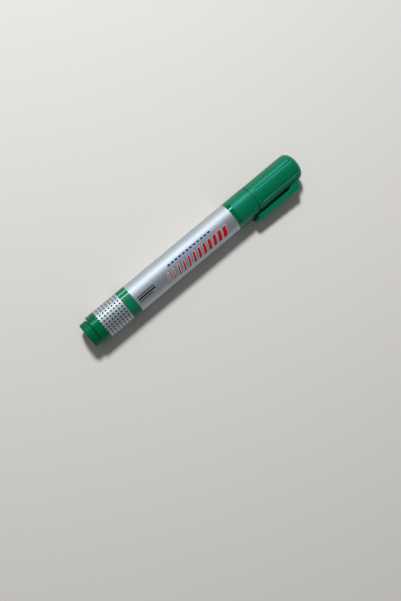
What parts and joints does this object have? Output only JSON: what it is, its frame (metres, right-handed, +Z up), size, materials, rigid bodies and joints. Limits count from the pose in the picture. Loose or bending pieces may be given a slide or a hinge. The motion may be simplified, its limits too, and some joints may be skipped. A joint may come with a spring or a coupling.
{
  "type": "permanent marker",
  "caption": "Round permanent marker with a silver printed sleeve, pull-off cap with moulded pocket clip, bullet fibre nib fed by an ink filler, and a press-in rear plug.",
  "frame": {"origin": "on the floor under the middle of the object's box, with the marker lying on its side", "axes": "+X along the marker from the rear plug to the cap's end, +Z up, the pocket clip towards -Y"},
  "size_m": [0.1412, 0.0194, 0.0159],
  "materials": {
    "green_moulding": "moulded polypropylene with a soft gloss",
    "silver_film": "metallised film with printed dots and bands",
    "filler_fibre": "inked polyester fibre",
    "clear_film": "thin clear film",
    "nose_moulding": "moulded polypropylene",
    "nib_felt": "bonded fibre soaked with ink",
    "natural_seal": "natural polyethylene"
  },
  "bodies": {
    "marker_body": {"barrel": "green_moulding", "label_film": "silver_film", "nib_holder": "nose_moulding", "nib": "nib_felt", "ink_filler": "filler_fibre", "filler_wrap": "clear_film"},
    "cap_body": {"cap": "green_moulding", "inner_cap": "natural_seal"},
    "plug_body": {"rear_plug": "green_moulding"}
  },
  "joints": [
    {"name": "cap_pull", "type": "slide", "parent": "marker_body", "child": "cap_body", "axis": [1, 0, 0], "range_m": [0, 0.045]},
    {"name": "plug_pull", "type": "slide", "parent": "marker_body", "child": "plug_body", "axis": [-1, 0, 0], "range_m": [0, 0.015]}
  ]
}
